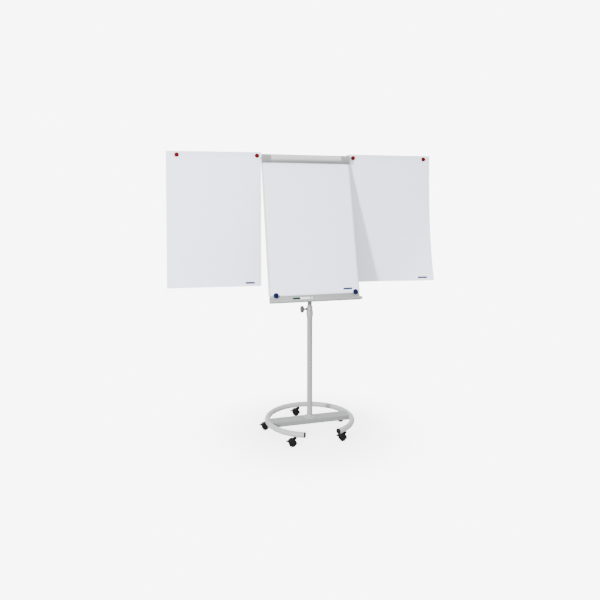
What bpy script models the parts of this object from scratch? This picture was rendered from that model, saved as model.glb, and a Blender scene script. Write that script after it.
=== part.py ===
"""Rolling flipchart easel: a castored ring base, a telescopic post, a leaning board with a
pad clamp and pen tray, and two folding arms that hold loose sheets beside the board.

Metres, +Z up. The post stands on the axis of the empty post_axis. The board is built in the
frame of the empty board_tilt: x across, y into the board and z up its face.
"""

from math import acos, cos, pi, radians, sin, sqrt

import bmesh
import bpy
from mathutils import Matrix

GAP = 0.0003  # left between pieces that touch
SIDES = 20  # facets round a turned piece
POST_X, POST_Y = -0.00176, -0.01293  # post axis, seen from the middle of the easel's box

# ring base
RING_R, RING_TUBE, RING_WALL, RING_Z = 0.314, 0.019, 0.002, 0.085
RING_OPEN = radians(24)  # half of the gap at the front
RING_STEPS = 36
RING_CAP = 0.012
BAR_DEEP, BAR_LOW, BAR_HIGH, BAR_WALL = 0.100, 0.064, 0.098, 0.003
FOOT_R, FOOT_RISE = 0.0475, 0.022

# post and mast
POST_R, MAST_R, TUBE_WALL = 0.020, 0.016, 0.002
POST_TOP, COLLAR_LOW, COLLAR_TOP = 0.850, 0.844, 0.929
MAST_LOW, MAST_TOP = 0.500, 1.445
BUSH_LENGTH = 0.045
KNOB_Z, KNOB_OUT, KNOB_R, KNOB_THICK = 0.909, 0.058, 0.025, 0.020
SCREW_R, SPACER_R = 0.004, 0.006

# board, in its own frame
LEAN = radians(13.8)
BOARD_FOOT_Y, BOARD_FOOT_Z = -0.1515, 0.9885
HALF_W, PANEL_LOW, PANEL_TOP, BOARD_BACK = 0.340, 0.050, 1.051, 0.016
SKIN, FRAME_W, FRAME_LIP = 0.0008, 0.012, 0.002
RAIL_LOW, RAIL_TOP = 1.052, 1.070
PAD_HALF_W, PAD_LOW, PAD_TOP, PAD_THICK = 0.3275, 0.057, 1.047, 0.008
TRAY_HALF, TRAY_CAP, TRAY_TOP, TRAY_FLOOR = 0.3330, 0.0035, 0.0495, 0.0155

# pad clamp
HINGE_Y, HINGE_Z, ROD_R = -0.004, 1.080, 0.0015
ARC_Y, ARC_Z, ARC_R, CLAMP_WALL = 0.012, 1.058, 0.042, 0.0025
CLAMP_HALF, CLAMP_LOW = 0.272, 1.025
LUGS = (-0.20, 0.0, 0.16)
HOOKS = {"left": -0.255, "right": 0.232}
HOOK_TOP, HOOK_HALF = 1.096, 0.011

# side arms: sign, pivot depth, rest turn, sheet start along the arm, face in front of the pivot
ARM_SIDES = {
    "left": (-1, 0.125, radians(-6.0), -0.010, 0.020),
    "right": (1, 0.149, radians(-2.5), -0.006, 0.030),
}
ARM_X, ARM_TOP, ARM_TALL, ARM_THICK = 0.350, 2.061, 0.030, 0.009
ARM_EYE_R, PIN_R = 0.008, 0.004
SHEET_W, SHEET_H, SHEET_THICK, SHEET_TOP = 0.680, 0.985, 0.0006, 2.063
MAGNET_R, BIG_MAGNET_R, MAGNET_THICK = 0.016, 0.019, 0.008
MAGNET_SPOTS = {"left": (0.030, 0.605), "right": (0.040, 0.626)}
PAD_MAGNETS = {"left": (-0.292, 0.0535), "right": (0.304, 0.0570)}

# marker on the tray
MARKER_X, MARKER_Y, MARKER_R, MARKER_LONG, MARKER_CAP = -0.171, -0.0098, 0.009, 0.148, 0.052

# casters
WHEEL_R, TRAIL, STEM_R, STEM_TOP = 0.025, 0.020, 0.005, 0.092
FIN, WHEEL_IN, WHEEL_OUT, AXLE_R = 0.0045, 0.0052, 0.0190, 0.0035
HOOD_IN, HOOD_OUT = 0.0268, 0.0300
LEVER_TURN, LEVER_OUT, LEVER_R = radians(150), 0.0315, 0.0030
CASTER_TURNS = {
    "rear": 90, "left": 162, "front_left": 234, "front_right": 306, "right": 18,
}

COLOURS = {
    "light_grey_paint": ((0.56, 0.57, 0.57), 0.42, 0.0),
    "grey_plastic": ((0.36, 0.37, 0.37), 0.55, 0.0),
    "black_plastic": ((0.012, 0.012, 0.013), 0.45, 0.0),
    "bare_steel": ((0.55, 0.55, 0.56), 0.30, 1.0),
    "satin_aluminium": ((0.62, 0.63, 0.63), 0.38, 0.9),
    "tray_paint": ((0.62, 0.63, 0.63), 0.40, 0.0),
    "white_metal": ((0.80, 0.81, 0.82), 0.40, 0.0),
    "white_enamel": ((0.84, 0.85, 0.86), 0.25, 0.0),
    "board_core": ((0.60, 0.55, 0.47), 0.90, 0.0),
    "paper": ((0.84, 0.85, 0.88), 0.85, 0.0),
    "red_plastic": ((0.42, 0.005, 0.012), 0.35, 0.0),
    "blue_plastic": ((0.010, 0.030, 0.170), 0.35, 0.0),
    "green_plastic": ((0.003, 0.075, 0.050), 0.35, 0.0),
    "white_plastic": ((0.82, 0.82, 0.83), 0.35, 0.0),
}


def clear_scene():
    for old in list(bpy.data.objects):
        bpy.data.objects.remove(old, do_unlink=True)


def new_collection(name, hidden=False):
    made = bpy.data.collections.new(name)
    bpy.context.scene.collection.children.link(made)
    made.hide_render = hidden
    return made


def new_material(name):
    colour, roughness, metallic = COLOURS[name]
    made = bpy.data.materials.new(name)
    made.use_nodes = True
    shader = made.node_tree.nodes["Principled BSDF"]
    shader.inputs["Base Color"].default_value = (*colour, 1.0)
    shader.inputs["Roughness"].default_value = roughness
    shader.inputs["Metallic"].default_value = metallic
    made.diffuse_color = (*colour, 1.0)
    return made


def empty(name, parent=None, location=(0, 0, 0), rotation=(0, 0, 0)):
    made = bpy.data.objects.new(name, None)
    made.empty_display_size = 0.05
    place(made, parent, location, rotation)
    PARTS.objects.link(made)
    return made


def place(obj, parent, location, rotation):
    obj.parent = parent
    obj.location = location
    obj.rotation_euler = rotation


def node(name, data, finish, parent, location=(0, 0, 0), rotation=(0, 0, 0)):
    """A named sub-part. With no finish it is a cutter or a joiner, which is left out."""
    made = bpy.data.objects.new(name, data)
    place(made, parent, location, rotation)
    if finish:
        data.materials.clear()
        data.materials.append(MATERIALS[finish])
        PARTS.objects.link(made)
    else:
        made.hide_render = True
        made.display_type = "WIRE"
        CUTTERS.objects.link(made)
    return made


def box_mesh(name, low, high):
    mesh = bpy.data.meshes.new(name)
    work = bmesh.new()
    bmesh.ops.create_cube(work, size=1.0)
    size = [b - a for a, b in zip(low, high)]
    middle = [(a + b) / 2 for a, b in zip(low, high)]
    bmesh.ops.transform(work, matrix=Matrix.LocRotScale(middle, None, size), verts=work.verts)
    work.to_mesh(mesh)
    work.free()
    return mesh


def box(name, low, high, finish, parent, location=(0, 0, 0), rotation=(0, 0, 0)):
    return node(name, box_mesh(name, low, high), finish, parent, location, rotation)


def rod_mesh(name, radius, low, high, axis="Z", sides=SIDES):
    """A plain cylinder along an axis, from low to high."""
    mesh = bpy.data.meshes.new(name)
    work = bmesh.new()
    bmesh.ops.create_cone(
        work, cap_ends=True, segments=sides, radius1=radius, radius2=radius, depth=high - low
    )
    shift = Matrix.Translation((0, 0, (low + high) / 2))
    turn = {"X": Matrix.Rotation(pi / 2, 4, "Y"), "Y": Matrix.Rotation(-pi / 2, 4, "X")}
    matrix = turn.get(axis, Matrix.Identity(4)) @ shift
    bmesh.ops.transform(work, matrix=matrix, verts=work.verts)
    work.to_mesh(mesh)
    work.free()
    mesh.shade_smooth()
    mesh.set_sharp_from_angle(angle=radians(40))
    return mesh


def rod(name, radius, low, high, finish, parent, location=(0, 0, 0), axis="Z", sides=SIDES):
    mesh = rod_mesh(name, radius, low, high, axis, sides)
    return node(name, mesh, finish, parent, location)


def turned(name, profile, finish, parent, location=(0, 0, 0), rotation=(0, 0, 0), **how):
    """A profile of (radius, height) turned about local Z; hollow=True closes it as a ring."""
    mesh = bpy.data.meshes.new(name)
    count = len(profile)
    edges = [(i, i + 1) for i in range(count - 1)]
    if how.get("hollow"):
        edges.append((count - 1, 0))
    mesh.from_pydata([(r, 0, z) for r, z in profile], edges, [])
    made = node(name, mesh, finish, parent, location, rotation)
    screw = made.modifiers.new("turn", "SCREW")
    screw.steps = how.get("sides", SIDES)
    screw.render_steps = screw.steps
    screw.use_merge_vertices = True
    screw.merge_threshold = 0.00001
    screw.use_smooth_shade = True
    return made


def tube(name, inner, outer, low, high, finish, parent):
    profile = [(inner, high), (outer, high), (outer, low), (inner, low)]
    return turned(name, profile, finish, parent, hollow=True)


def outline(name, loops, half, finish, parent, location=(0, 0, 0), rotation=(0, 0, 0)):
    """A flat outline, with any holes in it, extruded by half to each side of its plane."""
    curve = bpy.data.curves.new(name, "CURVE")
    curve.dimensions = "2D"
    curve.fill_mode = "BOTH"
    curve.extrude = half
    for points in loops:
        spline = curve.splines.new("POLY")
        spline.points.add(len(points) - 1)
        for point, (a, b) in zip(spline.points, points):
            point.co = (a, b, 0, 1)
        spline.use_cyclic_u = True
    return node(name, curve, finish, parent, location, rotation)


ALONG_X = (pi / 2, 0, pi / 2)  # an outline drawn in (y, z) and extruded along x
UPRIGHT = (pi / 2, 0, 0)  # an outline drawn in (x, z), or a turned piece that faces -Y


def finished_mesh(obj, weld=0.000002):
    """The object's mesh with its modifiers applied and loose caps welded."""
    bpy.context.view_layer.update()
    graph = bpy.context.evaluated_depsgraph_get()
    mesh = bpy.data.meshes.new_from_object(obj.evaluated_get(graph))
    work = bmesh.new()
    work.from_mesh(mesh)
    bmesh.ops.remove_doubles(work, verts=work.verts, dist=weld)
    bmesh.ops.recalc_face_normals(work, faces=work.faces)
    work.to_mesh(mesh)
    work.free()
    return mesh


def as_mesh(obj):
    """The same piece as a mesh object, ready for a Boolean."""
    name = obj.name
    finish = obj.active_material.name if obj.active_material else None
    mesh = finished_mesh(obj)
    parent, spot, turn = obj.parent, obj.location.copy(), obj.rotation_euler.copy()
    bpy.data.objects.remove(obj, do_unlink=True)
    return node(name, mesh, finish, parent, spot, turn)


def combine(target, other, operation):
    step = target.modifiers.new(f"{operation.lower()}_{other.name}", "BOOLEAN")
    step.operation = operation
    step.solver = "EXACT"
    step.object = other


def cut(target, cutter):
    combine(target, cutter, "DIFFERENCE")


def join(target, other):
    combine(target, other, "UNION")


def soften(obj, width, segments=2):
    bevel = obj.modifiers.new("soften", "BEVEL")
    bevel.width = width
    bevel.segments = segments
    bevel.limit_method = "ANGLE"
    bevel.angle_limit = radians(40)


def ring_curve(name, parent, radius, **how):
    """The open ring's tube, with its gap at the front, as a curve of the given radius."""
    start, sweep = -pi / 2 + RING_OPEN, 2 * (pi - RING_OPEN)
    curve = bpy.data.curves.new(name, "CURVE")
    curve.dimensions = "3D"
    curve.bevel_depth = radius
    curve.bevel_resolution = 3
    curve.use_fill_caps = how.get("caps", False)
    spline = curve.splines.new("POLY")
    spline.points.add(RING_STEPS)
    for i, point in enumerate(spline.points):
        turn = start + sweep * i / RING_STEPS
        point.co = (RING_R * cos(turn), RING_R * sin(turn), RING_Z, 1)
    return node(name, curve, how.get("finish"), parent)


def base_ring(parent):
    ring = as_mesh(ring_curve("base_ring", parent, RING_TUBE, finish="light_grey_paint"))
    wall = ring.modifiers.new("wall", "SOLIDIFY")
    wall.thickness = RING_WALL
    wall.offset = -1
    ring.data.shade_smooth()
    for name, turn in CASTER_TURNS.items():
        spot = (RING_R * cos(radians(turn)), RING_R * sin(radians(turn)), 0)
        socket = rod(f"socket_{name}", STEM_R + 2 * GAP, 0.05, RING_Z, None, parent, spot)
        cut(ring, socket)
    for side, sign in (("left", -1), ("right", 1)):
        turn = -pi / 2 + sign * RING_OPEN
        spot = (RING_R * cos(turn), RING_R * sin(turn), RING_Z)
        inner = RING_TUBE - RING_WALL - 0.0015
        half_step = (pi - RING_OPEN) / RING_STEPS
        profile = [
            (0, RING_CAP), (0.012, RING_CAP - 0.0004), (0.0175, RING_CAP - 0.002),
            (RING_TUBE, RING_CAP - 0.0045),
            (RING_TUBE, GAP), (inner, GAP), (inner, -0.012), (0, -0.012),
        ]
        facing = (pi / 2, 0, turn + sign * half_step + (pi if sign < 0 else 0))
        turned(f"ring_end_cap_{side}", profile, "black_plastic", parent, spot, facing)


def crossbar(parent):
    reach = sqrt(RING_R**2 - (BAR_DEEP / 2) ** 2)
    low = (-reach, -BAR_DEEP / 2, BAR_LOW)
    bar = box("crossbar", low, (reach, BAR_DEEP / 2, BAR_HIGH), "light_grey_paint", parent)
    saddle = ring_curve("bar_saddle", parent, RING_TUBE + GAP, caps=True)
    cut(bar, as_mesh(saddle))
    half, past = BAR_DEEP / 2 - BAR_WALL, RING_R + 0.05
    inside = (-past, -half, BAR_LOW + BAR_WALL), (past, half, BAR_HIGH - BAR_WALL)
    cut(bar, box("bar_hollow", *inside, None, parent))


def post(parent):
    top = BAR_HIGH + GAP
    hole = POST_R + GAP
    foot = [
        (hole, top + FOOT_RISE), (hole + 0.003, top + FOOT_RISE), (hole + 0.007, top + 0.010),
        (FOOT_R, top + 0.004), (FOOT_R, top), (hole, top),
    ]
    turned("post_foot", foot, "light_grey_paint", parent, hollow=True)
    tube("lower_post", POST_R - TUBE_WALL, POST_R, top, POST_TOP, "light_grey_paint", parent)
    bore = MAST_R + GAP
    collar = [
        (bore, COLLAR_TOP), (0.0205, COLLAR_TOP), (0.0215, COLLAR_TOP - 0.001),
        (0.0215, COLLAR_LOW + 0.054), (0.0235, COLLAR_LOW + 0.050), (0.0250, COLLAR_LOW + 0.042),
        (0.0252, COLLAR_LOW + 0.030), (0.0245, COLLAR_LOW + 0.016), (0.0225, COLLAR_LOW + 0.006),
        (0.0215, COLLAR_LOW), (hole, COLLAR_LOW), (hole, POST_TOP + GAP), (bore, POST_TOP + GAP),
    ]
    made = turned("post_collar", collar, "grey_plastic", parent, hollow=True)
    cut(made, rod("screw_hole", SCREW_R + GAP, -0.04, 0, None, parent, (0, 0, KNOB_Z), "X"))


def knob(parent):
    """The clamping knob, turned about its own screw, which points away to -X."""
    axis = empty("knob_axis", parent, (0, 0, KNOB_Z), (0, -pi / 2, 0))
    tip = MAST_R + GAP
    face = KNOB_OUT - KNOB_THICK / 2
    screw = [
        (0, face - GAP), (SPACER_R, face - GAP), (SPACER_R, 0.0222), (SCREW_R, 0.0222),
        (SCREW_R, tip + 0.001), (SCREW_R - 0.001, tip), (0, tip),
    ]
    turned("knob_screw", screw, "black_plastic", axis)
    back = face + KNOB_THICK
    grip = [
        (0, back), (KNOB_R - 0.006, back), (KNOB_R - 0.001, back - 0.003), (KNOB_R, back - 0.007),
        (KNOB_R, face + 0.007), (KNOB_R - 0.002, face + 0.003), (0.010, face), (0, face),
    ]
    turned("knob_grip", grip, "grey_plastic", axis)


def mast(parent):
    """The inner tube that slides and turns in the post, its bush and its end plug."""
    bush = MAST_R + GAP
    outer = POST_R - TUBE_WALL - GAP
    low = MAST_LOW + 0.002
    tube("guide_bush", bush, outer, low, low + BUSH_LENGTH, "grey_plastic", parent)
    inner = MAST_R - TUBE_WALL
    tube("upper_tube", inner, MAST_R, MAST_LOW, MAST_TOP, "light_grey_paint", parent)
    plug = [
        (0, MAST_TOP + 0.003), (MAST_R - 0.002, MAST_TOP + 0.003), (MAST_R, MAST_TOP + 0.0015),
        (MAST_R, MAST_TOP + GAP), (inner - GAP, MAST_TOP + GAP), (inner - GAP, MAST_TOP - 0.012),
        (0, MAST_TOP - 0.012),
    ]
    turned("tube_plug", plug, "grey_plastic", parent)


def brackets(parent, tilt):
    """Two blocks that carry the board on the mast, each cut to the mast and to the board."""
    room_low, room_high = (-0.1, -0.2, 0), (0.1, BOARD_BACK + GAP, PANEL_TOP)
    for name, low, high, half in (
        ("upper_bracket", 1.395, 1.438, 0.032), ("lower_bracket", 1.215, 1.255, 0.026),
    ):
        made = box(name, (-half, -0.12, low), (half, 0.022, high), "light_grey_paint", parent)
        cut(made, rod(f"{name}_bore", MAST_R + GAP, low - 0.01, high + 0.01, None, parent))
        cut(made, box(f"{name}_face", room_low, room_high, None, tilt))
        soften(made, 0.0015, 1)


def board(tilt):
    """The core, its magnetic white skin and the extruded frame round it."""
    edge = HALF_W - FRAME_W
    inside = edge + 0.006
    core = (-inside, SKIN + GAP, PANEL_LOW + GAP)
    box("board_core", core, (inside, BOARD_BACK - 0.0035, PANEL_TOP), "board_core", tilt)
    skin = (-inside, 0.0, PANEL_LOW + GAP)
    box("writing_skin", skin, (inside, SKIN, PANEL_TOP), "white_enamel", tilt)
    lip = FRAME_LIP
    front, back = -lip - GAP, BOARD_BACK
    groove = inside + GAP
    channel = [
        (edge, front), (HALF_W - 0.002, front), (HALF_W, front + 0.002), (HALF_W, back - 0.002),
        (HALF_W - 0.002, back), (edge, back), (edge, back - lip), (groove, back - lip),
        (groove, -GAP), (edge, -GAP),
    ]
    half = (PANEL_TOP - PANEL_LOW - GAP) / 2
    middle = PANEL_LOW + GAP + half
    for side, sign in (("left", -1), ("right", 1)):
        points = [(sign * x, y) for x, y in channel]
        name = f"frame_{side}"
        outline(name, [points], half, "satin_aluminium", tilt, (0, 0, middle))


def top_rail(tilt):
    """The rail over the board, with the lugs that carry the clamp's hinge rod."""
    low = (-HALF_W, 0.001, RAIL_LOW)
    rail = box("top_rail", low, (HALF_W, BOARD_BACK, RAIL_TOP), "satin_aluminium", tilt)
    for i, x in enumerate(LUGS):
        foot = (x - 0.010, HINGE_Y, RAIL_TOP - 0.004)
        join(rail, box(f"lug_{i}", foot, (x + 0.010, 0.008, HINGE_Z + 0.004), None, tilt))
        nose = rod(f"lug_nose_{i}", 0.0042, -0.010, 0.010, None, tilt, (x, HINGE_Y, HINGE_Z), "X")
        join(rail, nose)
    spot = (0, HINGE_Y, HINGE_Z)
    cut(rail, rod("rod_bore", ROD_R + GAP, -0.3, 0.3, None, tilt, spot, "X"))
    rod("clamp_hinge_rod", ROD_R, -0.333, 0.333, "bare_steel", tilt, spot, "X", 12)


def arc(radius, low, high, steps):
    """Points on the clamp's round front between two heights, drawn about the hinge."""
    turns = [acos((z - ARC_Z) / radius) for z in (low, high)]
    found = []
    for i in range(steps + 1):
        turn = turns[0] + (turns[1] - turns[0]) * i / steps
        found.append((ARC_Y - radius * sin(turn) - HINGE_Y, ARC_Z + radius * cos(turn) - HINGE_Z))
    return found


def clamp(tilt):
    """The pad clamp: a hollow curved bar between two end grips, hinged along its top."""
    hinge = empty("clamp_hinge", tilt, (0, HINGE_Y, HINGE_Z))
    press = -PAD_THICK - 2 * GAP - HINGE_Y
    low, high = CLAMP_LOW - HINGE_Z, 0.009
    web = -0.006
    outer = arc(ARC_R, CLAMP_LOW, HINGE_Z + high, 10)
    inner = arc(ARC_R - CLAMP_WALL, CLAMP_LOW + CLAMP_WALL, HINGE_Z + high - CLAMP_WALL, 8)
    shell = outer + [(web, high), (web, high - CLAMP_WALL)] + inner[::-1]
    shell += [(press, low + CLAMP_WALL), (press, low)]
    half = CLAMP_HALF - GAP
    outline("clamp_bar", [shell], half, "satin_aluminium", hinge, (0, 0, 0), ALONG_X)
    step = RAIL_LOW - HINGE_Z + 0.002
    solid = outer + [(0.0015, high), (0.0045, high - 0.003), (0.0045, step), (press, step)]
    solid += [(press, low)]
    wide = (HALF_W - CLAMP_HALF) / 2
    for side, sign in (("left", -1), ("right", 1)):
        spot = (sign * (CLAMP_HALF + wide), 0, 0)
        name = f"clamp_end_{side}"
        grip = as_mesh(outline(name, [solid], wide, "grey_plastic", hinge, spot, ALONG_X))
        inner_face, blind = sign * (CLAMP_HALF - 0.01), sign * 0.334
        ends = sorted((inner_face, blind))
        cut(grip, rod(f"{name}_bore", ROD_R + GAP, *ends, None, hinge, (0, 0, 0), "X"))


def hooks(tilt):
    """Sliding hooks on the rail, which stop the pad's head from creeping up."""
    tongue, toe = RAIL_TOP + GAP, PAD_TOP + 0.002
    back = tongue + 0.0035
    shape = [
        (0.0165, tongue), (0.0165, HOOK_TOP - 0.003), (0.0140, HOOK_TOP), (0.0080, HOOK_TOP),
        (0.0052, HOOK_TOP - 0.003), (0.0052, back), (-0.0085, back), (-0.0085, toe),
        (-0.0055, toe), (-0.0055, tongue),
    ]
    for side, x in HOOKS.items():
        name = f"pad_hook_{side}"
        outline(name, [shape], HOOK_HALF, "grey_plastic", tilt, (x, 0, 0), ALONG_X)


def tray(tilt):
    """The pen tray: a hollow beam under the board with a shallow, lipped shelf before it."""
    lip = TRAY_FLOOR + 0.003
    beam = [
        (0.018, TRAY_TOP), (0.018, 0), (-0.046, 0), (-0.0505, 0.0018), (-0.052, 0.006),
        (-0.052, lip - 0.001), (-0.051, lip), (-0.0495, lip - 0.0005), (-0.0495, TRAY_FLOOR + 0.001),
        (-0.0485, TRAY_FLOOR), (-0.002, TRAY_FLOOR), (0, TRAY_FLOOR + 0.001), (0, TRAY_TOP),
    ]
    back = [(0.003, 0.004), (0.015, 0.004), (0.015, TRAY_TOP - 0.0035), (0.003, TRAY_TOP - 0.0035)]
    shelf = [
        (-0.0440, 0.003), (0, 0.003), (0, TRAY_FLOOR - 0.003), (-0.0475, TRAY_FLOOR - 0.003),
        (-0.0475, 0.006),
    ]
    loops = [beam, back, shelf]
    outline("pen_tray", loops, TRAY_HALF, "tray_paint", tilt, (0, 0, 0), ALONG_X)
    end = [
        (0.018, TRAY_TOP - 0.004), (0.018, 0), (-0.046, -0.0005), (-0.0515, 0.0015),
        (-0.0530, 0.006), (-0.0530, 0.019), (-0.0505, 0.0215), (-0.012, 0.0225),
        (-0.002, 0.032), (0, TRAY_TOP - 0.004),
    ]
    for side, sign in (("left", -1), ("right", 1)):
        spot = (sign * (TRAY_HALF + GAP + TRAY_CAP / 2), 0, 0)
        name = f"tray_end_cap_{side}"
        outline(name, [end], TRAY_CAP / 2, "grey_plastic", tilt, spot, ALONG_X)


def pad(tilt):
    low = (-PAD_HALF_W, -PAD_THICK - GAP, PAD_LOW)
    box("paper_pad", low, (PAD_HALF_W, -GAP, PAD_TOP), "paper", tilt)
    face = -PAD_THICK - 2 * GAP
    for side, (x, z) in PAD_MAGNETS.items():
        spot = (x, face, z)
        magnet(f"blue_magnet_{side}", BIG_MAGNET_R, "blue_plastic", tilt, spot)


def magnet(name, radius, finish, parent, spot):
    """A round magnet whose back lies at spot and whose dome faces -Y."""
    top = MAGNET_THICK
    profile = [
        (0, top), (radius * 0.55, top - 0.0003), (radius * 0.85, top - 0.0014),
        (radius, top - 0.0040), (radius, 0), (0, 0),
    ]
    turned(name, profile, finish, parent, spot, (pi / 2, 0, 0), sides=20)


def marker(tilt):
    """A felt marker lying on the tray against the board, its cap to the left."""
    rest = (MARKER_X, MARKER_Y, TRAY_FLOOR + MARKER_R + 2 * GAP)
    lying = (0, pi / 2, 0)
    cap = MARKER_CAP
    cover = [
        (0, 0.012), (0.0055, 0.012), (0.0055, cap), (0.0088, cap), (MARKER_R, 0.030),
        (0.0082, 0.006), (0.0070, 0), (0, 0),
    ]
    turned("marker_cap", cover, "green_plastic", tilt, rest, lying, sides=16)
    body = [
        (0, MARKER_LONG), (0.0072, MARKER_LONG), (0.0085, MARKER_LONG - 0.003), (0.0085, cap + GAP),
        (0.0052, cap + GAP), (0.0048, 0.024), (0.0020, 0.014), (0, 0.014),
    ]
    turned("marker_body", body, "white_plastic", tilt, rest, lying, sides=16)


def side_arm(side, parent, tilt):
    """One folding arm, turned about a pin in a bracket behind the board's top corner."""
    sign, depth, turn, start, front = ARM_SIDES[side]
    pivot = empty(f"arm_pivot_{side}", parent, (sign * ARM_X, depth, 0), (0, 0, turn))
    low = ARM_TOP - ARM_TALL
    span = sorted((sign * start, sign * (start + SHEET_W - 0.002)))
    bar_low = (span[0], -front, low)
    bar_high = (span[1], -front + ARM_THICK, ARM_TOP)
    bar = box(f"side_arm_{side}", bar_low, bar_high, "white_metal", pivot)
    eye = rod(f"arm_eye_{side}", ARM_EYE_R, low, ARM_TOP, None, pivot)
    neck = sorted((sign * -0.002, sign * ARM_EYE_R))
    link = box(f"arm_neck_{side}", (neck[0], -front + 0.002, low), (neck[1], 0, ARM_TOP), None, pivot)
    join(bar, link)
    join(bar, eye)
    cut(bar, rod(f"arm_bore_{side}", PIN_R + GAP, low - 0.01, ARM_TOP + 0.01, None, pivot))
    plate = low - GAP
    pin = [
        (0, ARM_TOP + 0.0025), (0.0050, ARM_TOP + 0.0025), (0.0064, ARM_TOP + 0.0012),
        (0.0064, ARM_TOP + GAP), (PIN_R, ARM_TOP + GAP), (PIN_R, plate - 0.016), (0, plate - 0.016),
    ]
    turned(f"arm_pin_{side}", pin, "bare_steel", parent, (sign * ARM_X, depth, 0), sides=16)
    near = max(0.112, depth - front + 0.0015)
    arm_bracket(side, sign, depth, near, plate, parent, tilt)
    face = -front - GAP
    sheet_low = (sign * start, face - SHEET_THICK, SHEET_TOP - SHEET_H)
    sheet_high = (sign * (start + SHEET_W), face, SHEET_TOP)
    corners = [sorted(pair) for pair in zip(sheet_low, sheet_high)]
    lows, highs = zip(*corners)
    box(f"side_sheet_{side}", lows, highs, "paper", pivot)
    for place_name, along in zip(("inner", "outer"), MAGNET_SPOTS[side]):
        spot = (sign * (start + along), face - SHEET_THICK - GAP, SHEET_TOP - 0.026)
        magnet(f"red_magnet_{side}_{place_name}", MAGNET_R, "red_plastic", pivot, spot)


def arm_bracket(side, sign, depth, near, plate, parent, tilt):
    """A plate on the board's back with a shelf under the arm for its pin."""
    ends = sorted((sign * 0.270, sign * (HALF_W - 0.001)))
    back = BOARD_BACK + GAP
    name = f"arm_bracket_{side}"
    low, high = (ends[0], back, 0.985), (ends[1], back + 0.004, RAIL_TOP)
    made = box(name, low, high, "grey_plastic", tilt)
    edge = sorted((sign * 0.3315, sign * (ARM_X + 0.008)))
    shelf = (edge[0], near, plate - 0.014)
    block = box(f"{name}_shelf", shelf, (edge[1], depth + 0.009, plate), None, parent)
    join(made, block)
    spot = (sign * ARM_X, depth, 0)
    cut(made, rod(f"{name}_bore", PIN_R + GAP, plate - 0.03, plate + 0.01, None, parent, spot))
    room = (-HALF_W - GAP, -0.1, 0.9)
    panel = box(f"{name}_room", room, (HALF_W + GAP, back, 1.2), None, tilt)
    cut(made, panel)


def circle(radius, start, end, steps):
    turns = [start + (end - start) * i / steps for i in range(steps + 1)]
    return [(radius * cos(turn), radius * sin(turn)) for turn in turns]


def caster_meshes():
    """The meshes that all five casters share, drawn about the wheels' axle."""
    ear = (LEVER_OUT * cos(LEVER_TURN), LEVER_OUT * sin(LEVER_TURN))
    hood = circle(HOOD_OUT, radians(24), radians(141), 9)
    hood += circle(HOOD_IN, radians(141), radians(24), 9)
    housing = as_mesh(outline("housing", [hood], WHEEL_OUT, "black_plastic", None, (0, 0, 0), UPRIGHT))
    fin = circle(HOOD_OUT - 0.001, radians(24), radians(141), 8)
    fin += [(ear[0] - 0.005, ear[1] + 0.001), (ear[0] - 0.003, ear[1] - 0.005)]
    fin += [(-0.010, -0.006), (0, -0.010), (0.010, -0.006)]
    web = as_mesh(outline("fin", [fin], FIN, None, None, (0, 0, 0), UPRIGHT))
    top = RING_Z - RING_TUBE - WHEEL_R - 0.0008
    boss = rod("boss", 0.0085, 0.0265, top, None, None, (TRAIL, 0, 0), sides=16)
    stem = rod("stem", STEM_R, top - 0.004, STEM_TOP - WHEEL_R, None, None, (TRAIL, 0, 0), sides=12)
    for part in (web, boss, stem):
        join(housing, part)
    inner = WHEEL_IN - 2 * GAP
    room = rod("wheel_room", HOOD_IN - 0.0005, inner, 0.03, None, None, axis="Y", sides=24)
    other = rod("wheel_room_2", HOOD_IN - 0.0005, -0.03, -inner, None, None, axis="Y", sides=24)
    axle = rod("axle_hole", AXLE_R + 2 * GAP, -0.01, 0.01, None, None, axis="Y")
    spot = (ear[0], 0, ear[1])
    hinge = rod("lever_hole", LEVER_R - 0.0012 + 2 * GAP, -0.01, 0.01, None, None, spot, "Y", 16)
    for part in (room, other, axle, hinge):
        cut(housing, part)

    profile = [
        (0, WHEEL_OUT), (0.0235, WHEEL_OUT), (WHEEL_R, WHEEL_OUT - 0.002),
        (WHEEL_R, WHEEL_IN + 0.0015), (0.0235, WHEEL_IN), (AXLE_R, WHEEL_IN),
    ]
    profile += [(r, -z) for r, z in reversed(profile)]
    wheels = turned("wheels", profile, "black_plastic", None)

    pin = rod("lever", LEVER_R - 0.0012, -0.013, 0.013, "black_plastic", None, axis="Y", sides=16)
    pad_low, pad_high = (-0.0165, -0.013, -0.0018), (0, 0.013, 0.0018)
    plate = box("lever_plate", pad_low, pad_high, None, None)
    notch = box("lever_notch", (-0.0085, -0.0053, -0.01), (0.01, 0.0053, 0.01), None, None)
    cut(plate, notch)
    join(pin, plate)
    made = [finished_mesh(obj, 0.0000005) for obj in (housing, wheels, pin)]
    for obj in (housing, wheels, pin, web, boss, stem, room, other, axle, hinge, plate, notch):
        bpy.data.objects.remove(obj, do_unlink=True)
    return made


def casters(parent):
    housing, wheels, lever = caster_meshes()
    for name, turn in CASTER_TURNS.items():
        spot = (RING_R * cos(radians(turn)), RING_R * sin(radians(turn)), 0)
        swivel = empty(f"swivel_{name}", parent, spot)
        hub = (-TRAIL, 0, WHEEL_R)
        node(f"caster_housing_{name}", housing, "black_plastic", swivel, hub, UPRIGHT)
        node(f"caster_wheels_{name}", wheels, "black_plastic", swivel, hub, UPRIGHT)
        reach = (LEVER_OUT * cos(LEVER_TURN), LEVER_OUT * sin(LEVER_TURN))
        knuckle = (hub[0] + reach[0], 0, hub[2] + reach[1])
        node(f"caster_brake_{name}", lever, "black_plastic", swivel, knuckle)


clear_scene()
PARTS = new_collection("flipchart_easel")
CUTTERS = new_collection("cutters", hidden=True)
MATERIALS = {name: new_material(name) for name in COLOURS}

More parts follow.
